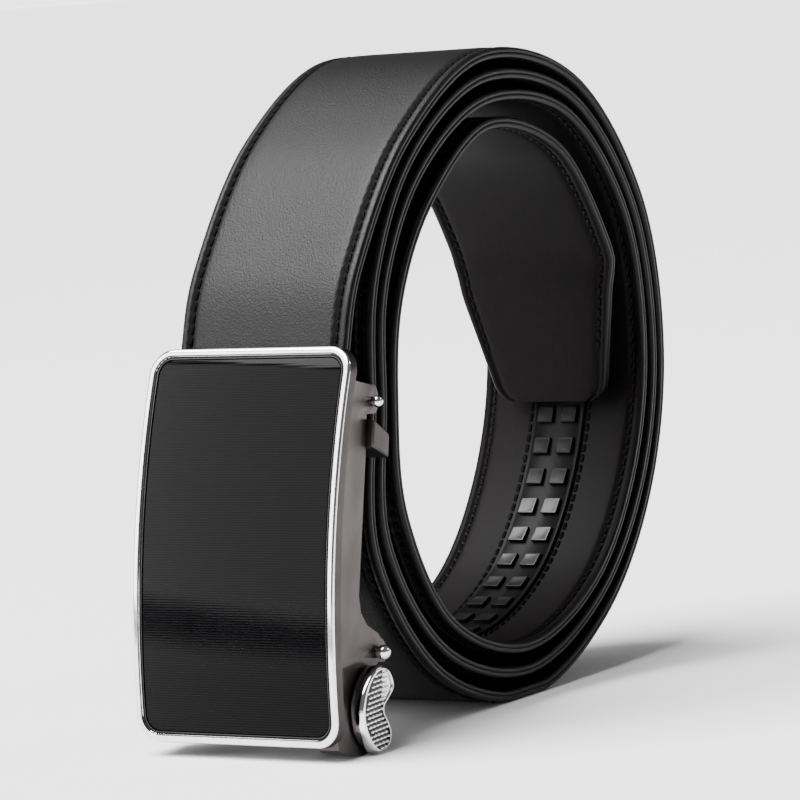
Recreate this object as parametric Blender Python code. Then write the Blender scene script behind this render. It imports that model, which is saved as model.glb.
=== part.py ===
"""Ratchet belt, rolled up and standing on its edge.

The strap is wound in one flat spiral in the YZ plane, with its width along X. The buckle
sits at the front (-Y) of the roll, leans back with the strap that leaves its top, and
stands on its lower end. The roll stands on a short flat at its lowest point.
"""

import math

import bmesh
import bpy
from mathutils import Matrix, Vector

MM = 0.001
SMOOTH_ANGLE = math.radians(32)

# Strap
STRAP_WIDTH = 34.4 * MM
STRAP_THICKNESS = 2.2 * MM
EDGE_THICKNESS = 1.8 * MM
EDGE_ROUND = 0.4 * MM
EDGE_MARGIN = 4.0 * MM
SECTION_LENGTH = 6.2 * MM
CLAMPED_LENGTH = 20.0 * MM

# Roll
ROLL_RADIUS = 58.0 * MM
WIND_GAP = 1.0 * MM
REST_FLAT = 0.5 * MM

# Strap tip
TIP_START = 150.0
TIP_END = 192.5
TIP_LENGTH = 26.0 * MM
TIP_CLEARANCE = 0.4 * MM

# Ratchet track
TRACK_WIDTH = 11.0 * MM
TRACK_LENGTH = 178.0 * MM
TRACK_FROM_TIP = 130.0 * MM
TRACK_BASE = 0.4 * MM
TRACK_GAP = 0.2 * MM
TOOTH_PITCH = 6.2 * MM
TOOTH_LENGTH = 3.4 * MM
TOOTH_WIDTH = 3.3 * MM
TOOTH_SPREAD = 5.0 * MM
TOOTH_HEIGHT = 0.7 * MM
TOOTH_LOW = 0.5 * MM

# Buckle front
BUCKLE_WIDTH = 41.6 * MM
BUCKLE_HEIGHT = 66.0 * MM
BUCKLE_BOW = 3.4 * MM
BUCKLE_LEAN = math.radians(11.3)
CORNER_RADIUS = 4.4 * MM
PLATE_DEPTH = 2.2 * MM
RIM_WIDTH = 1.7 * MM
RIM_CHAMFER = 0.45 * MM
RIM_STEP = 0.3 * MM
PANEL_SINK = 0.4 * MM
PANEL_THICKNESS = 0.8 * MM
FIT_GAP = 0.25 * MM

# Buckle frame
SKIN_STEP = 0.15 * MM
WALL_THICKNESS = 1.8 * MM
WALL_INSET = 0.12 * MM
WALL_DEPTH = 4.7 * MM
WALL_TOP_INSET = 5.6 * MM
FOOT_DEPTH = 10.4 * MM
FOOT_DROP = 1.0 * MM
FOOT_WIDTH = 5.5 * MM
EAR_RADIUS = 2.2 * MM
EAR_BACK = 1.6 * MM
EAR_RISE = 2.8 * MM
LOWER_EAR_RADIUS = 2.5 * MM
STRAP_SEAT = 3.65 * MM
STRAP_MOUTH = 3.8 * MM
EXIT_INSET = 0.5 * MM

# Clamp
CLAMP_PIN_RADIUS = 0.7 * MM
CLAMP_PIN_DROP = 8.7 * MM
CLAMP_BARREL_RADIUS = 1.35 * MM
JAW_THICKNESS = 1.3 * MM
JAW_REACH = 7.5 * MM
BAR_HEIGHT = 4.5 * MM
BAR_DEPTH = 4.8 * MM
BAR_FALL = 1.6 * MM
BAR_PROUD = 1.3 * MM
BAR_CHAMFER = 0.35 * MM
BAR_REAR_SHARE = 0.80

# Pawl and lever
PAWL_PIN_RADIUS = 0.8 * MM
PAWL_PIN_RISE = 16.9 * MM
PAWL_PIN_DEPTH = 10.3 * MM
PAWL_BARREL_RADIUS = 2.0 * MM
PAWL_REACH = 7.2 * MM
PAWL_THICKNESS = 2.2 * MM
RUNNING_GAP = 0.08 * MM
HEAD_RADIUS = 1.0 * MM
LOWER_HEAD_RADIUS = 1.25 * MM
LEVER_HEIGHT = 14.4 * MM
LEVER_WIDTH = 8.8 * MM
LEVER_FORWARD = 1.7 * MM
LEVER_BELOW = 2.2 * MM
LEVER_THICKNESS = 2.5 * MM
LEVER_BEVEL = 0.8 * MM
LEVER_SINK = 0.25 * MM
POCKET_DEPTH = 1.2 * MM
POCKET_LIP = 0.9 * MM
BRIDGE_INSET = 1.1 * MM
SIDE_GAP = 0.3 * MM

# The wind at each clock angle: 0 faces the front, 90 is up, 180 is the back. "reach" is the
# first turn's outer radius as a share of ROLL_RADIUS. The other columns are the open gaps to
# the second, third and fourth turns, as shares of WIND_GAP.
WIND = (
    # clock, reach, second, third, fourth
    (0, 0.800, 2.1, 0.9, 1.2),
    (30, 0.845, 2.8, 0.8, 2.5),
    (60, 0.883, 0.8, 1.4, 3.2),
    (90, 0.984, 1.5, 1.6, 2.2),
    (120, 1.014, 1.0, 1.0, 4.9),
    (150, 0.966, 0.6, 0.8, 6.1),
    (180, 0.903, 0.5, 1.1, 6.0),
    (210, 0.885, 0.6, 1.2, 6.0),
    (240, 0.917, 1.1, 0.9, 6.0),
    (270, 0.975, 1.9, 1.8, 6.0),
    (300, 0.960, 1.8, 2.9, 6.0),
    (330, 0.878, 1.6, 4.3, 6.0),
)

# The tip's half width, from its end back to full width.
TIP_SHAPE = (
    # share of TIP_LENGTH from the end, share of the half width
    (0.00, 0.530),
    (0.02, 0.600),
    (0.05, 0.650),
    (0.11, 0.700),
    (0.40, 0.800),
    (0.70, 0.905),
    (1.00, 1.000),
)

# The side wall's rear edge between the two ears.
WALL_WAIST = (
    # share of the half height, share of WALL_DEPTH
    (0.44, 1.03),
    (0.20, 0.99),
    (-0.24, 0.92),
    (-0.32, 1.07),
    (-0.38, 1.46),
    (-0.42, 2.19),
)

# The underside of the foot below the lever.
FOOT_SHAPE = (
    # share of FOOT_DEPTH, share of FOOT_DROP
    (0.18, 0.30),
    (0.28, 0.75),
    (0.50, 1.00),
    (0.84, 1.00),
    (0.98, 0.60),
    (1.00, 0.00),
)

# The thumb lever's bean outline, from its middle.
LEVER_SHAPE = (
    # share of LEVER_WIDTH to the back, share of LEVER_HEIGHT up
    (0.11, 0.50),
    (0.34, 0.47),
    (0.50, 0.34),
    (0.49, 0.25),
    (0.33, 0.14),
    (0.20, 0.05),
    (0.20, -0.04),
    (0.32, -0.13),
    (0.46, -0.24),
    (0.48, -0.35),
    (0.38, -0.45),
    (0.09, -0.50),
    (-0.16, -0.42),
    (-0.39, -0.26),
    (-0.49, -0.06),
    (-0.47, 0.12),
    (-0.35, 0.30),
    (-0.14, 0.44),
)

# The front edge of the pocket that the lever lies in.
POCKET_SHAPE = (
    # share of the half height, share of WALL_DEPTH
    (-0.56, 1.10),
    (-0.60, 0.10),
    (-0.64, -0.13),
    (-0.75, -0.28),
    (-1.20, -0.28),
)

COLOURS = {
    # finish: base colour, metallic, roughness
    "leather": ((0.018, 0.018, 0.020), 0.0, 0.45),
    "track": ((0.015, 0.014, 0.016), 0.0, 0.22),
    "satin_metal": ((0.62, 0.61, 0.60), 1.0, 0.30),
    "polished_metal": ((0.82, 0.82, 0.83), 1.0, 0.08),
    "black_panel": ((0.012, 0.012, 0.014), 0.0, 0.15),
}


def finish(name):
    """A material of its own for one sub-part."""
    colour, metallic, roughness = COLOURS[name]
    material = bpy.data.materials.new(name)
    material.use_nodes = True
    shader = material.node_tree.nodes["Principled BSDF"]
    shader.inputs["Base Color"].default_value = (*colour, 1.0)
    shader.inputs["Metallic"].default_value = metallic
    shader.inputs["Roughness"].default_value = roughness
    return material


def add_object(name, mesh, look=None, parent=None):
    """An object in the scene, with a finish, under a parent."""
    item = bpy.data.objects.new(name, mesh)
    bpy.context.scene.collection.objects.link(item)
    mesh.shade_smooth()
    mesh.set_sharp_from_angle(angle=SMOOTH_ANGLE)
    if look:
        mesh.materials.append(finish(look))
    item.parent = parent
    return item


def close_mesh(name, shape):
    """Points every face outwards and turns the shape into a mesh."""
    bmesh.ops.recalc_face_normals(shape, faces=shape.faces)
    mesh = bpy.data.meshes.new(name)
    shape.to_mesh(mesh)
    shape.free()
    return mesh


def loft(name, rings, closed=False):
    """A skin through rings of equal count, with end caps unless it closes on itself."""
    shape = bmesh.new()
    rows = [[shape.verts.new(point) for point in ring] for ring in rings]
    pairs = list(zip(rows, rows[1:]))
    if closed:
        pairs.append((rows[-1], rows[0]))
    for near, far in pairs:
        count = len(near)
        for i in range(count):
            j = (i + 1) % count
            shape.faces.new((near[i], near[j], far[j], far[i]))
    if not closed:
        shape.faces.new(rows[0])
        shape.faces.new(rows[-1])
    return close_mesh(name, shape)


def plate_mesh(name, outline, x_low, x_high):
    """A flat plate across X from an outline of (depth, height) points."""
    rings = [[(x, y, z) for y, z in outline] for x in (x_low, x_high)]
    return loft(name, rings)


def rod_mesh(name, radius, x_low, x_high, centre, sides=16):
    """A round rod along X about a (depth, height) centre."""
    outline = arc(centre, radius, 0.0, 360.0 * (sides - 1) / sides, sides - 1)
    return plate_mesh(name, outline, x_low, x_high)


def arc(centre, radius, start, end, steps):
    """Points of an arc in the (depth, height) plane, in degrees from the depth axis."""
    points = []
    for i in range(steps + 1):
        angle = math.radians(start + (end - start) * i / steps)
        points.append((centre[0] + radius * math.cos(angle), centre[1] + radius * math.sin(angle)))
    return points


def boolean(target, tool, operation):
    """Joins or cuts with a tool that stays out of the finished part."""
    tool.hide_render = True
    tool.display_type = "WIRE"
    step = target.modifiers.new(tool.name, "BOOLEAN")
    step.operation = operation
    step.solver = "EXACT"
    step.object = tool


def smooth_through(points, per_span):
    """A Catmull-Rom curve through points of any dimension."""
    ends = [2 * points[0] - points[1]] + list(points) + [2 * points[-1] - points[-2]]
    curve = []
    for i in range(1, len(ends) - 2):
        a, b, c, d = ends[i - 1], ends[i], ends[i + 1], ends[i + 2]
        for k in range(per_span):
            t = k / per_span
            curve.append(0.5 * (2 * b + (c - a) * t + (2 * a - 5 * b + 4 * c - d) * t * t
                                + (3 * b - 3 * c + d - a) * t ** 3))
    curve.append(points[-1])
    return curve


def read_table(rows, key, column=1):
    """A value between two rows of a table whose first column rises."""
    if key <= rows[0][0]:
        return rows[0][column]
    for low, high in zip(rows, rows[1:]):
        if key <= high[0]:
            share = (key - low[0]) / (high[0] - low[0])
            return low[column] + (high[column] - low[column]) * share
    return rows[-1][column]


def wind_radius(row, turn):
    """The middle radius of one turn of the strap at a row of the wind table."""
    gaps = row[2:2 + turn]
    outer = row[1] * ROLL_RADIUS - sum(STRAP_THICKNESS + gap * WIND_GAP for gap in gaps)
    return outer - STRAP_THICKNESS / 2


def roll_point(clock, radius):
    """A point of the roll from its clock angle and radius; X is depth here, Y is height."""
    angle = math.radians(clock)
    return Vector((-radius * math.cos(angle), ROLL_HEIGHT + radius * math.sin(angle)))


LOWEST_ROW = min(WIND, key=lambda row: abs(row[0] - 270))
ROLL_HEIGHT = LOWEST_ROW[1] * ROLL_RADIUS - REST_FLAT
TRACK_HEIGHT = TRACK_GAP + TRACK_BASE + TOOTH_HEIGHT
HALF_HEIGHT = BUCKLE_HEIGHT / 2
BOW_RADIUS = (HALF_HEIGHT ** 2 + BUCKLE_BOW ** 2) / (2 * BUCKLE_BOW)
PANEL_BACK = PANEL_SINK + PANEL_THICKNESS
WALL_OUT = BUCKLE_WIDTH / 2 - WALL_INSET
WALL_IN = WALL_OUT - WALL_THICKNESS
FOOT_HEIGHT = -HALF_HEIGHT - FOOT_DROP
FOOT_REAR = FOOT_DEPTH * FOOT_SHAPE[3][0]
CLAMP_PIN = (STRAP_SEAT + STRAP_THICKNESS / 2 + SIDE_GAP + CLAMP_BARREL_RADIUS,
             HALF_HEIGHT - CLAMP_PIN_DROP)
PAWL_PIN = (PAWL_PIN_DEPTH, -PAWL_PIN_RISE)
BAR_LOW = CLAMP_PIN[1] - JAW_REACH
BAR_FRONT = STRAP_SEAT + STRAP_THICKNESS / 2 + SIDE_GAP
LEVER_TOP = PAWL_PIN[1] - LEVER_BELOW
LEVER_MIDDLE = (PAWL_PIN_DEPTH - LEVER_FORWARD, LEVER_TOP - LEVER_HEIGHT / 2)
EXIT_HEIGHT = HALF_HEIGHT + EXIT_INSET


def front_depth(height):
    """How far the bowed front stands forward of its two ends, as a negative depth."""
    return math.sqrt(BOW_RADIUS ** 2 - HALF_HEIGHT ** 2) - math.sqrt(BOW_RADIUS ** 2 - height ** 2)


def buckle_to_world(depth, height):
    """A (depth, height) point of the buckle in the roll's plane."""
    back = Vector((math.cos(BUCKLE_LEAN), -math.sin(BUCKLE_LEAN)))
    up = Vector((math.sin(BUCKLE_LEAN), math.cos(BUCKLE_LEAN)))
    return buckle_origin() + depth * back + height * up


def buckle_origin():
    """The middle of the buckle's front chord.

    Its foot is on the floor, its strap runs onto the roll and its bar clears the turn behind it.
    """
    floor_drop = -FOOT_HEIGHT * math.cos(BUCKLE_LEAN) + FOOT_REAR * math.sin(BUCKLE_LEAN)
    exit_rise = EXIT_HEIGHT * math.cos(BUCKLE_LEAN) - STRAP_MOUTH * math.sin(BUCKLE_LEAN)
    exit_height = floor_drop + exit_rise
    exit_radius = wind_radius(WIND[0], 0) * 0.45 + wind_radius(WIND[1], 0) * 0.55 + 1.5 * WIND_GAP
    above = exit_height - ROLL_HEIGHT
    exit_depth = -math.sqrt(exit_radius ** 2 - above ** 2)
    exit_run = EXIT_HEIGHT * math.sin(BUCKLE_LEAN) + STRAP_MOUTH * math.cos(BUCKLE_LEAN)
    bar_back = BAR_FRONT + BAR_DEPTH
    bar_top = BAR_LOW - BAR_FALL + BAR_HEIGHT * BAR_REAR_SHARE
    bar_run = bar_back * math.cos(BUCKLE_LEAN) + bar_top * math.sin(BUCKLE_LEAN)
    bar_height = floor_drop - bar_back * math.sin(BUCKLE_LEAN) + bar_top * math.cos(BUCKLE_LEAN)
    behind = wind_radius(WIND[0], 1) * 0.85 + wind_radius(WIND[-1], 0) * 0.15 + STRAP_THICKNESS / 2
    bar_depth = -math.sqrt(behind ** 2 - (bar_height - ROLL_HEIGHT) ** 2) - SIDE_GAP
    return Vector((min(exit_depth - exit_run, bar_depth - bar_run), floor_drop))


def strap_path():
    """Evenly spaced points along the middle of the strap, from the clamp to the tip."""
    seated = EXIT_HEIGHT - CLAMPED_LENGTH
    keys = [buckle_to_world(STRAP_SEAT, seated + (CLAMP_PIN[1] - seated) * share) for share in (0.0, 0.5, 1.0)]
    keys.append(buckle_to_world(STRAP_MOUTH, EXIT_HEIGHT))
    for turn in range(4):
        for row in WIND:
            if turn == 0 and row[0] < 30:
                continue
            if turn == 3 and row[0] > TIP_START:
                continue
            keys.append(roll_point(row[0], wind_radius(row, turn)))
    third_turn = read_table(WIND, TIP_END)
    gaps = read_table(WIND, TIP_END, 2) + read_table(WIND, TIP_END, 3)
    inner_face = third_turn * ROLL_RADIUS - 3 * STRAP_THICKNESS - gaps * WIND_GAP
    tip_radius = inner_face - TRACK_HEIGHT - TIP_CLEARANCE - STRAP_THICKNESS / 2
    tip = roll_point(TIP_END, tip_radius)
    start = keys[-1]
    keys += [start.lerp(tip, share) for share in (0.34, 0.67, 1.0)]
    curve = smooth_through(keys, 24)
    lengths = [0.0]
    for a, b in zip(curve, curve[1:]):
        lengths.append(lengths[-1] + (b - a).length)
    whole = lengths[-1]
    stations = [whole * i / round(whole / SECTION_LENGTH) for i in range(round(whole / SECTION_LENGTH) + 1)]
    stations = [s for s in stations if s < whole - TIP_LENGTH]
    stations += [whole - share * TIP_LENGTH for share, half in reversed(TIP_SHAPE)]
    points = []
    k = 0
    for station in stations:
        while k < len(lengths) - 2 and lengths[k + 1] < station:
            k += 1
        span = lengths[k + 1] - lengths[k]
        point = curve[k].lerp(curve[k + 1], (station - lengths[k]) / span)
        point.y = max(point.y, STRAP_THICKNESS / 2)
        points.append(point)
    return stations, points, whole


def outward(points, i):
    """The direction away from the roll's middle at a point of the path."""
    run = points[min(i + 1, len(points) - 1)] - points[max(i - 1, 0)]
    run.normalize()
    return Vector((-run.y, run.x))


def strap_section(half, point, normal):
    """One section across the strap: padded in the middle, thinner at its rounded edges."""
    full = STRAP_THICKNESS / 2
    edge = EDGE_THICKNESS / 2
    rim = edge - EDGE_ROUND
    across = ((-half, rim), (-half + EDGE_ROUND, edge), (-half + EDGE_MARGIN, full),
              (half - EDGE_MARGIN, full), (half - EDGE_ROUND, edge), (half, rim))
    both = list(across) + [(x, -n) for x, n in reversed(across)]
    return [(x, point.x + n * normal.x, point.y + n * normal.y) for x, n in both]


def make_strap():
    """The wound leather strap, one solid from the clamp to the tip."""
    stations, points, whole = strap_path()
    rings = []
    for i, (station, point) in enumerate(zip(stations, points)):
        share = read_table(TIP_SHAPE, (whole - station) / TIP_LENGTH)
        rings.append(strap_section(STRAP_WIDTH / 2 * share, point, outward(points, i)))
    return add_object("strap", loft("strap", rings), "leather")


def path_reader():
    """A function that gives the point and outward direction at a length along the strap."""
    stations, points, whole = strap_path()

    def read(length):
        for i in range(len(stations) - 1):
            if length <= stations[i + 1]:
                break
        share = (length - stations[i]) / (stations[i + 1] - stations[i])
        point = points[i].lerp(points[i + 1], share)
        normal = outward(points, i).lerp(outward(points, i + 1), share).normalized()
        return point, normal
    return read, stations, whole


def make_track():
    """The toothed strip on the strap's inner face, two ramped teeth in each row."""
    read, stations, whole = path_reader()
    end = whole - TRACK_FROM_TIP
    start = end - TRACK_LENGTH
    face = -(STRAP_THICKNESS / 2 + TRACK_GAP)
    cuts = [start] + [s for s in stations if start + MM < s < end - MM] + [end]

    def place(x, length, depth):
        point, normal = read(length)
        return (x, point.x + normal.x * (face - depth), point.y + normal.y * (face - depth))

    def box(length_a, length_b, x_a, x_b, low, high_a, high_b):
        return [[place(x_a, at, low), place(x_b, at, low), place(x_b, at, high), place(x_a, at, high)]
                for at, high in ((length_a, high_a), (length_b, high_b))]

    half = TRACK_WIDTH / 2
    rings = [[place(-half, at, 0), place(half, at, 0), place(half, at, TRACK_BASE),
              place(-half, at, TRACK_BASE)] for at in cuts]
    strip = add_object("ratchet_track", loft("ratchet_track", rings), "track")
    shape = bmesh.new()
    for row in range(int((TRACK_LENGTH - TOOTH_PITCH) / TOOTH_PITCH) + 1):
        at = start + TOOTH_PITCH * (row + 0.5) - TOOTH_LENGTH / 2
        for side in (-1, 1):
            x = side * TOOTH_SPREAD / 2
            rings = box(at, at + TOOTH_LENGTH, x - TOOTH_WIDTH / 2, x + TOOTH_WIDTH / 2,
                        TRACK_BASE / 2, TRACK_BASE + TOOTH_LOW, TRACK_BASE + TOOTH_HEIGHT)
            tooth = loft("tooth", rings)
            shape.from_mesh(tooth)
            bpy.data.meshes.remove(tooth)
    mesh = bpy.data.meshes.new("teeth_guide")
    shape.to_mesh(mesh)
    shape.free()
    boolean(strip, add_object("teeth_guide", mesh), "UNION")
    return strip


def bowed_slab(name, half_width, low, high, corner, front, back):
    """A plate that follows the bowed front, with rounded corners."""
    steps = 5
    heights = [low + corner * (1 - math.cos(math.radians(90 * i / steps))) for i in range(steps + 1)]
    middle = [low + corner + (high - low - 2 * corner) * i / 12 for i in range(1, 12)]
    heights += middle + [low + high - h for h in reversed(heights)]
    rings = []
    for height in heights:
        into = max(low + corner - height, height - (high - corner), 0.0)
        inset = corner - math.sqrt(max(corner ** 2 - into ** 2, 0.0))
        half = half_width - inset
        at = front_depth(height)
        rings.append([(-half, at + front, height), (half, at + front, height),
                      (half, at + back, height), (-half, at + back, height)])
    return loft(name, rings)


def rim_loop(inset, depth):
    """One closed loop round the buckle's front, inset from its outline."""
    half = BUCKLE_WIDTH / 2
    radius = CORNER_RADIUS - inset
    straight = HALF_HEIGHT - CORNER_RADIUS
    loop = []
    for side_x, side_z, start in ((1, -1, -90), (1, 1, 0), (-1, 1, 90), (-1, -1, 180)):
        for i in range(7):
            angle = math.radians(start + 90 * i / 6)
            loop.append((side_x * (half - CORNER_RADIUS) + radius * math.cos(angle),
                         side_z * straight + radius * math.sin(angle)))
        if side_x != side_z:
            loop += [(loop[-1][0], side_z * straight * (1 - k / 6)) for k in range(1, 12)]
    return [(x, front_depth(z) + depth, z) for x, z in loop]


def make_rim():
    """The polished rim with its outer chamfer and a small step on the inside."""
    step = RIM_WIDTH * 0.65
    rings = [rim_loop(0.0, PLATE_DEPTH), rim_loop(0.0, RIM_CHAMFER), rim_loop(RIM_CHAMFER, 0.0),
             rim_loop(step, 0.0), rim_loop(step + RIM_STEP / 2, RIM_STEP),
             rim_loop(RIM_WIDTH, RIM_STEP), rim_loop(RIM_WIDTH, PLATE_DEPTH)]
    return loft("buckle_frame", rings, closed=True)


def make_panel(seat):
    """The black panel that lies inside the rim."""
    inset = RIM_WIDTH + FIT_GAP
    mesh = bowed_slab("inlay_panel", BUCKLE_WIDTH / 2 - inset, -HALF_HEIGHT + inset, HALF_HEIGHT - inset,
                      CORNER_RADIUS - RIM_WIDTH, PANEL_SINK, PANEL_BACK)
    return add_object("inlay_panel", mesh, "black_panel", seat)


def wall_outline(low):
    """A side wall's outline: bowed front, two ears and the notch for the bar."""
    top = HALF_HEIGHT - WALL_TOP_INSET
    inside = PLATE_DEPTH * 0.75
    front = [(front_depth(z) + inside, z) for z in [low + (top - low) * i / 12 for i in range(13)]]
    upper = []
    for y, z in arc((0.0, 0.0), 1.0, 105, -60, 9):
        upper.append((CLAMP_PIN[0] + y * EAR_BACK, CLAMP_PIN[1] + z * (EAR_RISE if z > 0 else EAR_RADIUS)))
    notch_low = BAR_LOW - SIDE_GAP
    notch = [(BAR_FRONT - SIDE_GAP, upper[-1][1] - SIDE_GAP), (BAR_FRONT - SIDE_GAP, notch_low),
             (WALL_DEPTH * 1.05, notch_low - SIDE_GAP)]
    waist = [(share * WALL_DEPTH, z * HALF_HEIGHT) for z, share in WALL_WAIST]
    lower = arc(PAWL_PIN, LOWER_EAR_RADIUS, 80, -90, 7)
    rear = PAWL_PIN_DEPTH - BRIDGE_INSET - SIDE_GAP
    return front + upper + notch + waist + lower + [(rear, lower[-1][1]), (rear, low)]


def make_frame(seat):
    """The buckle's casting: rim, bowed skin behind the panel, two side walls and one foot."""
    frame = add_object("buckle_frame", make_rim(), "satin_metal", seat)
    inset = RIM_WIDTH / 2
    skin = bowed_slab("skin_guide", BUCKLE_WIDTH / 2 - inset, -HALF_HEIGHT + inset, HALF_HEIGHT - inset,
                      CORNER_RADIUS - inset, PANEL_BACK + FIT_GAP, PLATE_DEPTH - SKIN_STEP)
    boolean(frame, add_object("skin_guide", skin, parent=seat), "UNION")
    low = -HALF_HEIGHT + CORNER_RADIUS / 2
    foot = [(front_depth(low) + PLATE_DEPTH * 0.75, low), (PAWL_PIN_DEPTH, low)]
    foot += [(depth * FOOT_DEPTH, -HALF_HEIGHT - drop * FOOT_DROP) for depth, drop in reversed(FOOT_SHAPE)]
    for name, outline, x_low, x_high in (
            ("right_wall_guide", wall_outline(low), WALL_IN, WALL_OUT),
            ("left_wall_guide", wall_outline(low), -WALL_OUT, -WALL_IN),
            ("foot_guide", foot, WALL_OUT - FOOT_WIDTH, WALL_OUT - WALL_INSET)):
        boolean(frame, add_object(name, plate_mesh(name, outline, x_low, x_high), parent=seat), "UNION")
    reach = BUCKLE_WIDTH
    for name, centre, radius in (("clamp_pin_cut", CLAMP_PIN, CLAMP_PIN_RADIUS),
                                 ("pawl_pin_cut", PAWL_PIN, PAWL_PIN_RADIUS)):
        cutter = add_object(name, rod_mesh(name, radius + RUNNING_GAP, -reach, reach, centre), parent=seat)
        boolean(frame, cutter, "DIFFERENCE")
    pocket = [(max(depth * WALL_DEPTH, front_depth(max(z, -1.0) * HALF_HEIGHT) + POCKET_LIP), z * HALF_HEIGHT)
              for z, depth in POCKET_SHAPE]
    pocket += [(2 * FOOT_DEPTH, pocket[-1][1]), (2 * FOOT_DEPTH, pocket[0][1])]
    cutter = plate_mesh("pocket_cut", pocket, WALL_OUT - POCKET_DEPTH, reach)
    boolean(frame, add_object("pocket_cut", cutter, parent=seat), "DIFFERENCE")
    return frame


def make_pin(name, centre, radius, head, seat):
    """A pin across the buckle with a ball head at each end."""
    end = WALL_OUT + SIDE_GAP / 2
    pin = add_object(name, rod_mesh(name, radius, -end - head, end + head, centre), "polished_metal", seat)
    for side in (-1, 1):
        shape = bmesh.new()
        bmesh.ops.create_uvsphere(shape, u_segments=14, v_segments=9, radius=head)
        place = Matrix.Translation((side * (end + head * 0.75), centre[0], centre[1]))
        bmesh.ops.bisect_plane(shape, geom=shape.verts[:] + shape.edges[:] + shape.faces[:],
                               plane_co=(-side * head * 0.75, 0, 0), plane_no=(-side, 0, 0), clear_outer=True)
        bmesh.ops.holes_fill(shape, edges=[e for e in shape.edges if e.is_boundary])
        bmesh.ops.transform(shape, matrix=place, verts=shape.verts)
        ball = add_object(name + "_head_guide", close_mesh("head", shape), parent=seat)
        boolean(pin, ball, "UNION")
    return pin


def make_jaw(seat):
    """The clamp's jaw: a barrel on its pin, a plate down the strap and a thick bar."""
    half = WALL_IN - SIDE_GAP
    outline = arc(CLAMP_PIN, CLAMP_BARREL_RADIUS, 180, -60, 9)
    outline += [(BAR_FRONT + JAW_THICKNESS, CLAMP_PIN[1] - CLAMP_BARREL_RADIUS * 1.4),
                (BAR_FRONT + JAW_THICKNESS, BAR_LOW), (BAR_FRONT, BAR_LOW)]
    jaw = add_object("clamp_jaw", plate_mesh("clamp_jaw", outline, -half, half), "satin_metal", seat)
    end = WALL_OUT + BAR_PROUD
    back = BAR_FRONT + BAR_DEPTH
    rings = []
    for x, cut in ((-end, BAR_CHAMFER), (-end + BAR_CHAMFER, 0.0), (end - BAR_CHAMFER, 0.0), (end, BAR_CHAMFER)):
        rings.append([(x, BAR_FRONT + cut, BAR_LOW + cut),
                      (x, back - cut, BAR_LOW - BAR_FALL + cut),
                      (x, back - cut, BAR_LOW - BAR_FALL + BAR_HEIGHT * BAR_REAR_SHARE),
                      (x, back - BAR_DEPTH * 0.12, BAR_LOW - BAR_FALL + BAR_HEIGHT * 0.95 - cut),
                      (x, BAR_FRONT + cut, BAR_LOW + BAR_HEIGHT - cut)])
    boolean(jaw, add_object("bar_guide", loft("bar_guide", rings), parent=seat), "UNION")
    bore = rod_mesh("jaw_bore", CLAMP_PIN_RADIUS + RUNNING_GAP, -half * 2, half * 2, CLAMP_PIN)
    boolean(jaw, add_object("jaw_bore", bore, parent=seat), "DIFFERENCE")
    return jaw


def make_pawl(axis):
    """The catch on the lower pin, whose edge works on the track's teeth."""
    half = WALL_IN - SIDE_GAP
    barrel = arc((0.0, 0.0), PAWL_BARREL_RADIUS, 150, -70, 9)
    tip = (-PAWL_REACH * 0.66, -PAWL_REACH)
    outline = barrel + [(tip[0] + PAWL_THICKNESS, tip[1] - PAWL_THICKNESS * 0.2), (tip[0], tip[1]),
                        (tip[0] + PAWL_THICKNESS * 0.1, tip[1] + PAWL_THICKNESS * 0.7)]
    pawl = add_object("ratchet_pawl", plate_mesh("ratchet_pawl", outline, -half, half), "satin_metal", axis)
    bore = rod_mesh("pawl_bore", PAWL_PIN_RADIUS + RUNNING_GAP, -half * 2, half * 2, (0.0, 0.0))
    boolean(pawl, add_object("pawl_bore", bore, parent=axis), "DIFFERENCE")
    top = -LOWER_EAR_RADIUS - 2 * SIDE_GAP
    arm = [(-BRIDGE_INSET, top), (LOWER_EAR_RADIUS * 0.7, top), (LOWER_EAR_RADIUS * 0.7, top - PAWL_THICKNESS),
           (-PAWL_REACH * 0.45, top - PAWL_THICKNESS), (-PAWL_REACH * 0.3, top)]
    guide = add_object("arm_guide", plate_mesh("arm_guide", arm, half - 3 * PAWL_THICKNESS, half), parent=axis)
    boolean(pawl, guide, "UNION")
    return pawl


def bean(inset):
    """The lever's outline in (depth, height) from the pawl's axis, inset from its edge."""
    keys = [Vector((y * (LEVER_WIDTH - 2 * inset), z * (LEVER_HEIGHT - 2 * inset))) for y, z in LEVER_SHAPE]
    offset = Vector((LEVER_MIDDLE[0] - PAWL_PIN[0], LEVER_MIDDLE[1] - PAWL_PIN[1]))
    curve = []
    count = len(keys)
    for i in range(count):
        span = smooth_through([keys[i - 1], keys[i], keys[(i + 1) % count], keys[(i + 2) % count]], 2)
        curve += span[2:4]
    return [point + offset for point in curve]


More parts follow.
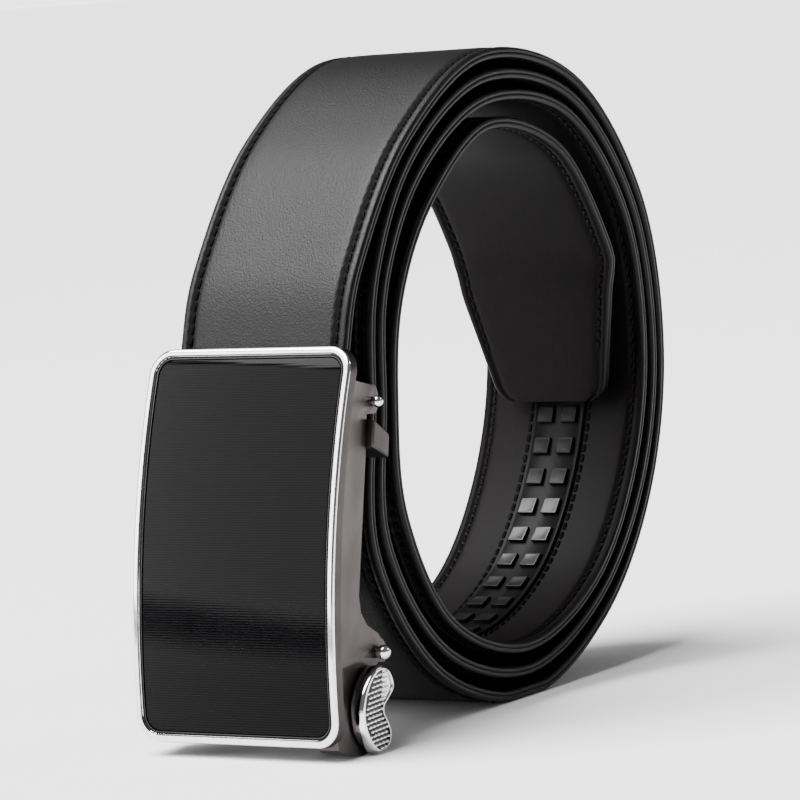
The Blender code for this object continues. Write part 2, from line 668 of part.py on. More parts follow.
def make_lever(axis):
    """The bean-shaped thumb lever beside the wall, with a bridge behind the wall to the pawl."""
    back = WALL_OUT - POCKET_DEPTH + SIDE_GAP
    front = back + LEVER_THICKNESS
    levels = ((back, LEVER_BEVEL / 2), (back + LEVER_BEVEL / 2, 0.0), (front - LEVER_BEVEL, 0.0),
              (front, LEVER_BEVEL), (front, 1.6 * LEVER_BEVEL), (front - LEVER_SINK, 1.9 * LEVER_BEVEL))
    rings = [[(x, p.x, p.y) for p in bean(inset)] for x, inset in levels]
    lever = add_object("release_lever", loft("release_lever", rings), "polished_metal", axis)
    top = -LOWER_EAR_RADIUS - 2 * SIDE_GAP
    bridge = [(-BRIDGE_INSET, top), (LOWER_EAR_RADIUS * 0.5, top),
              (LOWER_EAR_RADIUS * 0.5, top - PAWL_THICKNESS), (-BRIDGE_INSET, top - PAWL_THICKNESS)]
    x_low = WALL_IN - SIDE_GAP + SIDE_GAP
    guide = plate_mesh("bridge_guide", bridge, x_low, back + LEVER_THICKNESS / 2)
    boolean(lever, add_object("bridge_guide", guide, parent=axis), "UNION")
    return lever


def add_empty(name, place, parent=None, lean=0.0):
    """An empty that carries pieces in their own frame."""
    empty = bpy.data.objects.new(name, None)
    bpy.context.scene.collection.objects.link(empty)
    empty.location = place
    empty.rotation_euler = (lean, 0.0, 0.0)
    empty.parent = parent
    return empty


def centre_on_floor(pieces):
    """Moves the part so that its box is centred on the origin and stands on the floor."""
    bpy.context.view_layer.update()
    graph = bpy.context.evaluated_depsgraph_get()
    corners = []
    for piece in pieces:
        shown = piece.evaluated_get(graph)
        mesh = shown.to_mesh()
        corners += [shown.matrix_world @ vertex.co for vertex in mesh.vertices]
        shown.to_mesh_clear()
    low = Vector([min(corner[i] for corner in corners) for i in range(3)])
    high = Vector([max(corner[i] for corner in corners) for i in range(3)])
    shift = Vector((-(low.x + high.x) / 2, -(low.y + high.y) / 2, 0.0))
    for item in bpy.context.scene.objects:
        if item.parent is None:
            item.location += shift


def build():
    """Makes every piece and sets the part on the floor."""
    origin = buckle_origin()
    seat = add_empty("buckle_seat", (0.0, origin.x, origin.y), lean=-BUCKLE_LEAN)
    axis = add_empty("pawl_axis", (0.0, PAWL_PIN[0], PAWL_PIN[1]), parent=seat)
    pieces = [
        make_strap(),
        make_track(),
        make_frame(seat),
        make_panel(seat),
        make_jaw(seat),
        make_pin("clamp_pin", CLAMP_PIN, CLAMP_PIN_RADIUS, HEAD_RADIUS, seat),
        make_pin("pawl_pin", PAWL_PIN, PAWL_PIN_RADIUS, LOWER_HEAD_RADIUS, seat),
        make_pawl(axis),
        make_lever(axis),
    ]
    centre_on_floor(pieces)


for old in list(bpy.data.objects):
    bpy.data.objects.remove(old)
build()
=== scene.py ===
"""Ratchet belt, rolled up and standing on its edge: leather, stitching, buckle and lever.

The strap and what is sewn to it are modelled flat, with their length along Y, and are then
wound onto the roll. The buckle's pieces are modelled in the buckle's own frame, with depth
along Y and height along Z, and are then set on the leaning seat.
"""

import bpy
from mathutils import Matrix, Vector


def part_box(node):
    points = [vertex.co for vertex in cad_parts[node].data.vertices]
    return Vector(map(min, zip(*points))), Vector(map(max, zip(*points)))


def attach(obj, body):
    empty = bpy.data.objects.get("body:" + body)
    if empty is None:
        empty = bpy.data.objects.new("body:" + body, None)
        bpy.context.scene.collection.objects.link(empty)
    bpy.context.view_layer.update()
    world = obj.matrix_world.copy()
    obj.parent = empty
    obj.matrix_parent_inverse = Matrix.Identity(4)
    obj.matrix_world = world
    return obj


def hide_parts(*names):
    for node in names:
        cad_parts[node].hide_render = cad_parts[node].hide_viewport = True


bl_info = {
    "name": "Ratchet belt",
    "version": (1, 0, 0),
    "blender": (4, 5, 0),
    "location": "3D View > Sidebar > Belt",
    "description": "Models and finishes a rolled leather belt with a ratchet buckle",
    "category": "Object",
}

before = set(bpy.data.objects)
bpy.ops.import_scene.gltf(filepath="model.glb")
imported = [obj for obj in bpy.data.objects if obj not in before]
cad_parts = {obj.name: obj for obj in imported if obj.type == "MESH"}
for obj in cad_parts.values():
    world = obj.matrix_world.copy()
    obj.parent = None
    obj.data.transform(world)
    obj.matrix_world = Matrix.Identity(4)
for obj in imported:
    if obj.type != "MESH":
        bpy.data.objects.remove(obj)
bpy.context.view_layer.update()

import math
from bisect import bisect_right

import bmesh
import bpy
from mathutils import Matrix, Vector
from mathutils.kdtree import KDTree

MM = 0.001

# Strap and roll
STRAP_WIDTH = 34.4 * MM
STRAP_THICKNESS = 2.2 * MM
EDGE_THICKNESS = 1.8 * MM
CLAMPED_LENGTH = 20.0 * MM
ROLL_RADIUS = 58.0 * MM
WIND_GAP = 1.0 * MM
REST_FLAT = 0.5 * MM
TIP_START = 150.0
TIP_END = 192.5
TIP_LENGTH = 26.0 * MM
TIP_CLEARANCE = 0.4 * MM
FULL = STRAP_THICKNESS / 2
HALF_WIDTH = STRAP_WIDTH / 2

# Ratchet track
TRACK_WIDTH = 11.0 * MM
TRACK_LENGTH = 178.0 * MM
TRACK_FROM_TIP = 130.0 * MM
TRACK_BASE = 0.4 * MM
TRACK_GAP = 0.2 * MM
TOOTH_PITCH = 6.2 * MM
TOOTH_LENGTH = 3.4 * MM
TOOTH_WIDTH = 3.3 * MM
TOOTH_SPREAD = 5.0 * MM
TOOTH_HEIGHT = 0.7 * MM
TOOTH_LOW = 0.5 * MM

# From the track's start to where its teeth are rubbed bright
RUBBED_FROM = 64.5 * MM

# Where the edge seams start and how much shorter than the strap they are, and how far the
# seams beside the track reach past its ends
SEAM_FROM = 19.0 * MM
SEAM_SHORT = 26.0 * MM
SEAM_PAST_TRACK = 3.0 * MM

# Buckle
BUCKLE_WIDTH = 41.6 * MM
HALF_HEIGHT = 33.0 * MM
BUCKLE_BOW = 3.4 * MM
BUCKLE_LEAN = math.radians(11.3)
BOW_RADIUS = (HALF_HEIGHT ** 2 + BUCKLE_BOW ** 2) / (2 * BUCKLE_BOW)
PLATE_DEPTH = 2.2 * MM
PANEL_SINK = 0.4 * MM
PANEL_THICKNESS = 0.8 * MM
FIT_GAP = 0.25 * MM
FOOT_REAR = 10.4 * 0.84 * MM
FOOT_HEIGHT = -34.0 * MM
STRAP_SEAT = 3.65 * MM
STRAP_MOUTH = 3.8 * MM
EXIT_HEIGHT = HALF_HEIGHT + 0.5 * MM
WALL_OUT = BUCKLE_WIDTH / 2 - 0.12 * MM
WALL_IN = WALL_OUT - 1.8 * MM
CLAMP_PIN = (6.4 * MM, 24.3 * MM)
PAWL_PIN = (10.3 * MM, -16.9 * MM)
SIDE_GAP = 0.3 * MM
LEVER_BACK = WALL_OUT - 1.2 * MM + SIDE_GAP
FIELD_SINK = 0.3 * MM
MATCH = 1e-6

# The wind at each clock angle: 0 faces the front, 90 is up, 180 is the back. "reach" is the
# first turn's outer radius as a share of ROLL_RADIUS. The other columns are the open gaps to
# the second, third and fourth turns, as shares of WIND_GAP.
WIND = (
    # clock, reach, second, third, fourth
    (0, 0.800, 2.1, 0.9, 1.2),
    (30, 0.845, 2.8, 0.8, 2.5),
    (60, 0.883, 0.8, 1.4, 3.2),
    (90, 0.984, 1.5, 1.6, 2.2),
    (120, 1.014, 1.0, 1.0, 4.9),
    (150, 0.966, 0.6, 0.8, 6.1),
    (180, 0.903, 0.5, 1.1, 6.0),
    (210, 0.885, 0.6, 1.2, 6.0),
    (240, 0.917, 1.1, 0.9, 6.0),
    (270, 0.975, 1.9, 1.8, 6.0),
    (300, 0.960, 1.8, 2.9, 6.0),
    (330, 0.878, 1.6, 4.3, 6.0),
)

# The tip's half width, from its end back to full width.
TIP_SHAPE = (
    # share of TIP_LENGTH from the end, share of the half width
    (0.00, 0.530),
    (0.02, 0.600),
    (0.05, 0.650),
    (0.11, 0.700),
    (0.40, 0.800),
    (0.70, 0.905),
    (1.00, 1.000),
)

# The thumb lever's bean outline, from its middle.
LEVER_SHAPE = (
    # share of the lever's width to the back, share of its height up
    (0.11, 0.50),
    (0.34, 0.47),
    (0.50, 0.34),
    (0.49, 0.25),
    (0.33, 0.14),
    (0.20, 0.05),
    (0.20, -0.04),
    (0.32, -0.13),
    (0.46, -0.24),
    (0.48, -0.35),
    (0.38, -0.45),
    (0.09, -0.50),
    (-0.16, -0.42),
    (-0.39, -0.26),
    (-0.49, -0.06),
    (-0.47, 0.12),
    (-0.35, 0.30),
    (-0.14, 0.44),
)

# One stitch, from hole to hole.
STITCH_SHAPE = (
    # share of the half length, share of the thread's radius, rise as a share of that radius
    (-1.00, 0.45, -0.95),
    (-0.72, 0.92, -0.05),
    (0.00, 1.00, 0.28),
    (0.72, 0.92, -0.05),
    (1.00, 0.45, -0.95),
)

# One bead of the lever's face.
BEAD_SHAPE = (
    # share of the bead's height, share of its size
    (-0.25, 1.00),
    (0.35, 0.94),
    (0.78, 0.72),
    (1.00, 0.34),
)

# The softboxes, in metres.
LAMPS = (
    # name, place, width, height, power in watts
    ("front_lamp", (-0.62, -0.76, 0.385), 0.85, 0.62, 9.5),
    ("left_lamp", (-0.51, 0.03, 0.79), 0.75, 0.30, 2.0),
    ("right_lamp", (0.70, 0.60, 0.62), 0.14, 0.14, 1.2),
)
SKY_STRENGTH = 0.16
SUN_STRENGTH = 12.0
SUN_SPREAD = math.radians(50)
SUN_GLOSS = 0.03
SUN_TURN = (math.radians(22), math.radians(-18), 0)
FLOOR_SIZE = 120.0
FLOOR_EDGE = 6.0

# Where the camera stands and looks.
CAMERA_PLACE = (0.4406, -0.62847, 0.12795)
CAMERA_AIM = (-0.5736, 0.8112, -0.1140)
CAMERA_SIDE = (0.8192, 0.5680, -0.0798)
CAMERA_PITCH = math.radians(0.98)
CAMERA_LENS = 198


# Sizes and colours


def length(name, description, millimetres):
    """A size in millimetres that a user can change."""
    return bpy.props.FloatProperty(name=name, description=description, default=millimetres * MM,
                                   min=0.0, precision=5, unit="LENGTH")


def angle(name, description, degrees):
    """An angle that a user can change."""
    return bpy.props.FloatProperty(name=name, description=description, default=math.radians(degrees),
                                   subtype="ANGLE")


def colour(name, description, value):
    """A colour that a user can change."""
    return bpy.props.FloatVectorProperty(name=name, description=description, default=value,
                                         min=0.0, max=1.0, subtype="COLOR")


class BeltStrapSizes(bpy.types.PropertyGroup):
    """Sizes of the leather strap and its sewing."""

    seam_inset: length("Seam inset", "From the strap's edge to the stitches", 2.1)
    groove_width: length("Groove width", "Width of the sewn groove", 1.4)
    groove_depth: length("Groove depth", "Depth of the sewn groove", 0.42)
    ply_line: length("Ply line", "Width of the line where the two plies meet", 0.22)
    stitch_pitch: length("Stitch pitch", "From one stitch to the next", 2.0)
    stitch_length: length("Stitch length", "Length of the thread that shows", 1.78)
    thread: length("Thread", "Thickness of the thread", 0.64)
    seam_spread: length("Track seam spread", "Between the two seams beside the track", 12.5)
    slant: angle("Stitch slant", "How far a stitch is turned from its seam", 15)


class BeltBuckleSizes(bpy.types.PropertyGroup):
    """Sizes of the buckle's visible edges and fastenings."""

    corner: length("Corner", "Radius of the front's corners", 4.4)
    rim_width: length("Rim width", "Width of the polished rim", 1.7)
    rim_round: length("Rim round", "Rounding of the rim's outer edge", 0.45)
    rim_step: length("Rim step", "Drop to the step inside the rim", 0.3)
    edge_round: length("Edge round", "Rounding of the casting's edges", 0.28)
    clamp_head: length("Upper head", "Radius of the upper pin's ball heads", 1.0)
    pawl_head: length("Lower head", "Radius of the lower pin's ball heads", 1.25)


class BeltLeverSizes(bpy.types.PropertyGroup):
    """Sizes of the thumb lever and the beads on its face."""

    height: length("Height", "Height of the lever", 14.4)
    width: length("Width", "Width of the lever from front to back", 8.8)
    thickness: length("Thickness", "Thickness of the lever", 2.5)
    rim: length("Rim", "Width of the polished rim round the beads", 0.5)
    row_pitch: length("Row pitch", "From one row of beads to the next", 0.80)
    bead_pitch: length("Bead pitch", "From one bead to the next in its row", 1.05)
    bead_height: length("Bead height", "How far a bead stands out of the face", 0.3)
    row_slant: angle("Row slant", "How far the rows rise to the back", 14)


class BeltColours(bpy.types.PropertyGroup):
    """Colours of the belt's finishes."""

    leather: colour("Leather", "Outer face of the strap", (0.0013, 0.0013, 0.0016))
    lining: colour("Lining", "Inner face of the strap", (0.0022, 0.0018, 0.0018))
    edge: colour("Edge", "Painted edge of the strap", (0.002, 0.002, 0.0021))
    thread: colour("Thread", "Stitches", (0.0012, 0.0012, 0.0013))
    track: colour("Track", "Toothed strip", (0.0025, 0.0025, 0.003))
    satin: colour("Satin metal", "Walls, clamp and catch", (0.058, 0.051, 0.049))
    polished: colour("Polished metal", "Rim, pins and lever", (0.80, 0.80, 0.81))
    panel: colour("Panel", "Black panel in the buckle's front", (0.0012, 0.0012, 0.0014))
    floor: colour("Floor", "Floor under the belt", (0.86, 0.86, 0.86))


# Routes and frames


def smooth_through(points, per_span):
    """A Catmull-Rom curve through points of any dimension."""
    ends = [2 * points[0] - points[1]] + list(points) + [2 * points[-1] - points[-2]]
    curve = []
    for a, b, c, d in zip(ends, ends[1:], ends[2:], ends[3:]):
        for k in range(per_span):
            t = k / per_span
            curve.append(0.5 * (2 * b + (c - a) * t + (2 * a - 5 * b + 4 * c - d) * t * t
                                + (3 * b - 3 * c + d - a) * t ** 3))
    curve.append(points[-1])
    return curve


def read_table(rows, key, column=1):
    """A value between two rows of a table whose first column rises."""
    if key <= rows[0][0]:
        return rows[0][column]
    for low, high in zip(rows, rows[1:]):
        if key <= high[0]:
            share = (key - low[0]) / (high[0] - low[0])
            return low[column] + (high[column] - low[column]) * share
    return rows[-1][column]


def front_depth(height):
    """How far the bowed front stands forward of its two ends, as a negative depth."""
    return math.sqrt(BOW_RADIUS ** 2 - HALF_HEIGHT ** 2) - math.sqrt(BOW_RADIUS ** 2 - height ** 2)


def wind_radius(row, turn):
    """The middle radius of one turn of the strap at a row of the wind table."""
    gaps = row[2:2 + turn]
    return row[1] * ROLL_RADIUS - sum(STRAP_THICKNESS + gap * WIND_GAP for gap in gaps) - FULL


class Seat:
    """The buckle's leaning frame, and the roll that touches it."""

    def __init__(self):
        lowest = next(row for row in WIND if row[0] == 270)
        self.roll_height = lowest[1] * ROLL_RADIUS - REST_FLAT
        cos, sin = math.cos(BUCKLE_LEAN), math.sin(BUCKLE_LEAN)
        rise = -FOOT_HEIGHT * cos + FOOT_REAR * sin
        radius = wind_radius(WIND[0], 0) * 0.45 + wind_radius(WIND[1], 0) * 0.55 + 1.5 * WIND_GAP
        above = rise + EXIT_HEIGHT * cos - STRAP_MOUTH * sin - self.roll_height
        depth = -math.sqrt(radius ** 2 - above ** 2) - (EXIT_HEIGHT * sin + STRAP_MOUTH * cos)
        pin_low, pin_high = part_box("pawl_pin")
        pin = depth + PAWL_PIN[0] * cos + PAWL_PIN[1] * sin
        self.shift = (pin_low[1] + pin_high[1]) / 2 - pin
        lean = Matrix.Rotation(-BUCKLE_LEAN, 4, "X")
        self.matrix = Matrix.Translation((0, depth + self.shift, rise)) @ lean

    def on_buckle(self, depth, height):
        """A (depth, height) point of the buckle in the roll's plane."""
        return (self.matrix @ Vector((0, depth, height))).yz

    def on_roll(self, clock, radius):
        """A point of the roll from its clock angle and radius."""
        turn = math.radians(clock)
        return Vector((self.shift - radius * math.cos(turn), self.roll_height + radius * math.sin(turn)))


class Route:
    """The middle line of the strap, from the clamp to the tip."""

    def __init__(self, seat):
        seated = EXIT_HEIGHT - CLAMPED_LENGTH
        heights = [seated + (CLAMP_PIN[1] - seated) * share for share in (0.0, 0.5, 1.0)]
        keys = [seat.on_buckle(STRAP_SEAT, height) for height in heights]
        keys.append(seat.on_buckle(STRAP_MOUTH, EXIT_HEIGHT))
        for turn in range(4):
            rows = [row for row in WIND if turn or row[0] >= 30]
            rows = [row for row in rows if turn < 3 or row[0] <= TIP_START]
            keys += [seat.on_roll(row[0], wind_radius(row, turn)) for row in rows]
        gaps = read_table(WIND, TIP_END, 2) + read_table(WIND, TIP_END, 3)
        inner = read_table(WIND, TIP_END) * ROLL_RADIUS - 3 * STRAP_THICKNESS - gaps * WIND_GAP
        track = TRACK_GAP + TRACK_BASE + TOOTH_HEIGHT
        tip = seat.on_roll(TIP_END, inner - track - TIP_CLEARANCE - FULL)
        start = keys[-1]
        keys += [start.lerp(tip, share) for share in (0.34, 0.67, 1.0)]
        self.points = smooth_through(keys, 24)
        self.lengths = [0.0]
        for a, b in zip(self.points, self.points[1:]):
            self.lengths.append(self.lengths[-1] + (b - a).length)
        self.whole = self.lengths[-1]
        last = len(self.points) - 1
        self.normals = []
        for i in range(last + 1):
            run = self.points[min(i + 1, last)] - self.points[max(i - 1, 0)]
            self.normals.append(Vector((-run.y, run.x)).normalized())

    def place(self, across, along, above):
        """The point at a length along the strap, across it and above its middle."""
        i = min(max(bisect_right(self.lengths, along) - 1, 0), len(self.points) - 2)
        share = (along - self.lengths[i]) / (self.lengths[i + 1] - self.lengths[i])
        point = self.points[i].lerp(self.points[i + 1], share)
        normal = self.normals[i].lerp(self.normals[i + 1], share).normalized()
        point.y = max(point.y, FULL)
        return Vector((across, point.x + normal.x * above, max(point.y + normal.y * above, 0.0)))


SEAT = Seat()
ROUTE = Route(SEAT)
ROLL_MIDDLE = Vector((0.0, SEAT.shift, SEAT.roll_height))
TRACK_END = ROUTE.whole - TRACK_FROM_TIP
TRACK_START = TRACK_END - TRACK_LENGTH


# Modelling by hand


def linked(name, data):
    """A new object in the scene."""
    item = bpy.data.objects.new(name, data)
    bpy.context.scene.collection.objects.link(item)
    return item


def start_clean():
    """Leaves nothing selected, in object mode."""
    if bpy.context.object and bpy.context.object.mode != "OBJECT":
        bpy.ops.object.mode_set(mode="OBJECT")
    for item in bpy.context.selected_objects:
        item.select_set(False)


def choose(item):
    """Leaves one piece selected, in object mode."""
    start_clean()
    bpy.context.view_layer.objects.active = item
    item.select_set(True)


def added(name):
    """The piece that was just added, under its name."""
    item = bpy.context.object
    item.name = name
    item.data.name = name
    return item


def edit(item):
    """Opens a piece in edit mode with all of it selected."""
    choose(item)
    bpy.ops.object.mode_set(mode="EDIT")
    bpy.ops.mesh.select_all(action="SELECT")


def face_out():
    """Points all faces outwards."""
    bpy.ops.mesh.select_all(action="SELECT")
    bpy.ops.mesh.normals_make_consistent(inside=False)


def close_edit():
    """Points all faces outwards and leaves edit mode."""
    face_out()
    bpy.ops.object.mode_set(mode="OBJECT")


def pick(item, kind, test):
    """Selects the points, edges or faces that pass a test."""
    bpy.ops.mesh.select_mode(type=kind)
    bpy.ops.mesh.select_all(action="DESELECT")
    shape = bmesh.from_edit_mesh(item.data)
    shape.normal_update()
    parts = {"VERT": shape.verts, "EDGE": shape.edges, "FACE": shape.faces}[kind]
    chosen = [part for part in parts if test(part)]
    for part in chosen:
        part.select_set(True)
    shape.select_flush_mode()
    bmesh.update_edit_mesh(item.data)
    if not chosen:
        raise RuntimeError(f"nothing to select on {item.name}")


def outlined(name, outline):
    """A flat face with a given outline, from a circle."""
    start_clean()
    bpy.ops.mesh.primitive_circle_add(vertices=len(outline), radius=0.01, fill_type="NGON")
    item = added(name)
    for vertex, point in zip(item.data.vertices, outline):
        vertex.co = point
    return item


def extruded(name, rings):
    """A solid whose outline is extruded from ring to ring."""
    item = outlined(name, rings[0])
    edit(item)
    for here, there in zip(rings, rings[1:]):
        tree = KDTree(len(here))
        for i, point in enumerate(here):
            tree.insert(point, i)
        tree.balance()
        bpy.ops.mesh.extrude_region_move()
        shape = bmesh.from_edit_mesh(item.data)
        for vertex in [v for v in shape.verts if v.select]:
            vertex.co = there[tree.find(vertex.co)[1]]
        bmesh.update_edit_mesh(item.data)
    close_edit()
    return item


def long_bar(name, section, start, end, rounds, cuts):
    """A straight bar along Y, extruded from its section and cut across many times."""
    item = outlined(name, [(x, start, n) for x, n in section])
    edit(item)
    bpy.ops.mesh.extrude_region_move(TRANSFORM_OT_translate={"value": (0, end - start, 0)})
    for _ in range(rounds):
        pick(item, "EDGE", lambda e: abs(e.verts[0].co.y - e.verts[1].co.y) > MATCH)
        bpy.ops.mesh.subdivide(number_cuts=cuts)
    close_edit()
    return item


def block(name, low, high):
    """A straight block between two corners."""
    start_clean()
    low, high = Vector(low), Vector(high)
    bpy.ops.mesh.primitive_cube_add(size=1, location=(low + high) / 2)
    item = added(name)
    item.scale = high - low
    bpy.ops.object.transform_apply(location=True, rotation=True, scale=True)
    return item


def turned(name, profile, centre, sides=28):
    """A round piece along X from a profile of (x, radius) points."""
    rings = []
    for x, radius in profile:
        turns = [2 * math.pi * i / sides for i in range(sides)]
        rings.append([(x, centre[0] + radius * math.cos(a), centre[1] + radius * math.sin(a))
                      for a in turns])
    return extruded(name, rings)


def soften(item, width):
    """Rounds all edges that are sharper than 30 degrees."""
    step = item.modifiers.new("round", "BEVEL")
    step.width = width
    step.segments = 3
    step.limit_method = "ANGLE"
    step.angle_limit = math.radians(30)
    step.use_clamp_overlap = True
    choose(item)
    bpy.ops.object.modifier_apply(modifier=step.name)


def merged_copy(node, name):
    """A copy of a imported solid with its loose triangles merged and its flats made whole."""
    item = linked(name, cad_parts[node].data.copy())
    item.data.name = name
    item.data.materials.clear()
    edit(item)
    bpy.ops.mesh.remove_doubles(threshold=2e-6)
    bpy.ops.mesh.customdata_custom_splitnormals_clear()
    bpy.ops.mesh.dissolve_limited(angle_limit=math.radians(0.4))
    close_edit()
    return item


def copies(model, places, name):
    """One piece made of copies of a model at many places. The model is removed."""
    points = []
    faces = []
    for place in places:
        base = len(points)
        points += [place @ vertex.co for vertex in model.data.vertices]
        faces += [[base + i for i in face.vertices] for face in model.data.polygons]
    mesh = bpy.data.meshes.new(name)
    mesh.from_pydata(points, [], faces)
    bpy.data.objects.remove(model)
    return linked(name, mesh)


def remember(item, matrix=None):
    """Stores each point's place in the piece's own frame, in millimetres, for its finish."""
    back = matrix.inverted() if matrix else Matrix.Identity(4)
    own = item.data.attributes.new("own", "FLOAT_VECTOR", "POINT")
    for vertex, spot in zip(item.data.vertices, own.data):
        spot.vector = (back @ vertex.co) / MM


def wind(item):
    """Winds a flat piece onto the roll."""
    remember(item)
    for vertex in item.data.vertices:
        vertex.co = ROUTE.place(*vertex.co)
    item.data.update()


def seat_piece(item):
    """Sets a piece of the buckle on the leaning seat."""
    remember(item)
    item.data.transform(SEAT.matrix)
    item.data.update()


def complete(item, body, finishes, nodes=(), angle=35.0):
    """Shades, finishes and mounts a piece."""
    choose(item)
    bpy.ops.object.shade_smooth_by_angle(angle=math.radians(angle))
    for material in finishes:
        item.data.materials.append(material)
    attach(item, body)
    if nodes:
        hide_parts(*nodes)
    item.select_set(False)


# Finishes


class Value:
    """A socket of a finish that takes part in sums."""

    def __init__(self, recipe, socket):
        self.recipe = recipe
        self.socket = socket

    def work(self, operation, *terms):
        return self.recipe.node("ShaderNodeMath", {"operation": operation}, dict(enumerate(terms)))

    def __add__(self, other):
        return self.work("ADD", self, other)

    __radd__ = __add__

    def __sub__(self, other):
        return self.work("SUBTRACT", self, other)

    def __rsub__(self, other):
        return self.work("SUBTRACT", other, self)

    def __mul__(self, other):
        return self.work("MULTIPLY", self, other)

    def __abs__(self):
        return self.work("ABSOLUTE", self)

    def sine(self):
        return self.work("SINE", self)

    def fade(self, low, high):
        """0 below one value and 1 above the other, with a smooth turn between."""
        ends = {"Value": self, "From Min": low, "From Max": high, "To Min": 0.0, "To Max": 1.0}
        return self.recipe.node("ShaderNodeMapRange", {"interpolation_type": "SMOOTHSTEP"}, ends)


class Recipe:
    """A finish: a Principled shader and the nodes that feed it."""

    def __init__(self, name, base, roughness, **uniform):
        self.material = bpy.data.materials.new(name)
        self.material.use_nodes = True
        self.tree = self.material.node_tree
        self.shader = self.tree.nodes["Principled BSDF"]
        self.base = (*base, 1.0)
        self.shader.inputs["Base Color"].default_value = self.base
        self.shader.inputs["Roughness"].default_value = roughness
        for key, value in uniform.items():
            self.shader.inputs[key.replace("_", " ")].default_value = value

    def node(self, kind, settings=None, values=None, out=0):
        """Any node: its settings first, then the values or links of its sockets."""
        node = self.tree.nodes.new(kind)
        for key, value in (settings or {}).items():
            setattr(node, key, value)
        for key, value in (values or {}).items():
            if isinstance(value, Value):
                self.tree.links.new(value.socket, node.inputs[key])
            else:
                node.inputs[key].default_value = value
        return Value(self, node.outputs[out])

    def axes(self):
        """The piece's own coordinates in millimetres, as a vector and as three numbers."""
        own = self.node("ShaderNodeAttribute", {"attribute_name": "own"}, out=1)
        parts = [self.node("ShaderNodeSeparateXYZ", None, {0: own}, out) for out in range(3)]
        return own, *parts

    def stretch(self, vector, factors):
        """A vector scaled along its axes."""
        return self.node("ShaderNodeVectorMath", {"operation": "MULTIPLY"}, {0: vector, 1: factors})

    def noise(self, vector, scale, detail=3.0, roughness=0.55):
        values = {"Vector": vector, "Scale": scale, "Detail": detail, "Roughness": roughness}
        return self.node("ShaderNodeTexNoise", None, values)

    def streaks(self, vector, factors, detail=3.0, roughness=0.55):
        """Noise scaled along the axes."""
        return self.noise(self.stretch(vector, factors), 1.0, detail, roughness)

    def cells(self, vector, scale, feature="F1"):
        return self.node("ShaderNodeTexVoronoi", {"feature": feature}, {"Vector": vector, "Scale": scale})

    def feed(self, socket, value):
        self.tree.links.new(value.socket, self.shader.inputs[socket])

    def shade(self, factor, other, roughness):
        """The base colour, turned towards another colour by a factor, and the roughness."""
        values = {0: factor, 6: self.base, 7: (*other, 1.0)}
        self.feed("Base Color", self.node("ShaderNodeMix", {"data_type": "RGBA"}, values, out=2))
        self.feed("Roughness", roughness)

    def relief(self, height, distance, strength=1.0):
        """Surface relief of a given height in metres."""
        values = {"Strength": strength, "Distance": distance, "Height": height}
        self.feed("Normal", self.node("ShaderNodeBump", None, values))


def seam_mask(across, along, strap):
    """1 on the seams of the strap, and the pucker from stitch to stitch."""
    seam = (HALF_WIDTH - strap.seam_inset) / MM
    near = 1.0 - abs(abs(across) - seam).fade(0.5, 1.1)
    turns = (along * (2 * math.pi * MM / strap.stitch_pitch)).sine()
    return near, near * (turns * 0.5 + 0.5)


def leather_finish(colours, strap):
    """Black full-grain leather: pebbled grain, pulled in at the stitches, a painted highlight on its margins and
    painted shade along the seams.
    """
    recipe = Recipe("leather_face", colours.leather, 0.4, Specular_IOR_Level=0.17)
    own, across, along, above = recipe.axes()
    pebbles = recipe.cells(own, 2.9, "SMOOTH_F1")
    fine = recipe.noise(own, 4.6, 3.0, 0.6)
    broad = recipe.streaks(own, (0.06, 0.03, 0.06))
    pores = recipe.cells(recipe.stretch(own, (1.0, 0.8, 1.0)), 4.6)
    near, pucker = seam_mask(across, along, strap)
    # Painted highlight: the margins outside the seams are tinted lighter. On the seams the tint is taken away, as
    # painted shade in the grooves.
    margin_highlight = abs(across).fade(HALF_WIDTH / MM - 1.5, HALF_WIDTH / MM - 0.2)
    tone_and_painted_light = (broad * 0.5 + fine * 0.35 + margin_highlight * 0.4).fade(0.25, 1.1) * (1.0 - near)
    recipe.shade(tone_and_painted_light, (0.0038, 0.0038, 0.0044),
                 0.29 + fine * 0.10 + broad * 0.08 - margin_highlight * 0.05 + near * 0.5)
    recipe.relief(pebbles * 0.6 + fine * 0.7 + pores * 0.3 - pucker * 1.1, 0.00011, 0.75)
    return recipe.material


def lining_finish(colours, strap):
    """Smooth brown-black lining with fine lines along the strap."""
    recipe = Recipe("leather_lining", colours.lining, 0.5, Specular_IOR_Level=0.045)
    own, across, along, above = recipe.axes()
    lines = recipe.streaks(own, (2.6, 0.22, 1.0), 4.0, 0.6)
    fine = recipe.noise(own, 4.0, 3.0)
    creases = recipe.streaks(own, (0.05, 0.5, 1.0), 2.0)
    near, pucker = seam_mask(across, along, strap)
    recipe.shade((lines * 0.7 + fine * 0.4).fade(0.3, 0.9), (0.006, 0.0048, 0.0045),
                 0.40 + lines * 0.14 + fine * 0.06)
    recipe.relief(lines * 0.5 + fine * 0.35 + creases * 0.5 - pucker * 0.7, 0.00007, 0.5)
    return recipe.material


def edge_finish(colours):
    """Painted edge, a little uneven, with the glue line showing dark."""
    recipe = Recipe("leather_edge", colours.edge, 0.36, Specular_IOR_Level=0.10)
    own, across, along, above = recipe.axes()
    waves = recipe.streaks(own, (1.0, 0.35, 1.6), 4.0, 0.6)
    fibres = recipe.streaks(own, (2.0, 0.8, 6.0))
    line = 1.0 - abs(above).fade(0.05, 0.18)
    recipe.shade((waves * 0.9 - line).fade(0.2, 0.8), (0.006, 0.0056, 0.0056),
                 0.30 + waves * 0.14 + line * 0.3)
    recipe.relief(waves * 0.7 + fibres * 0.4, 0.00008, 0.6)
    return recipe.material


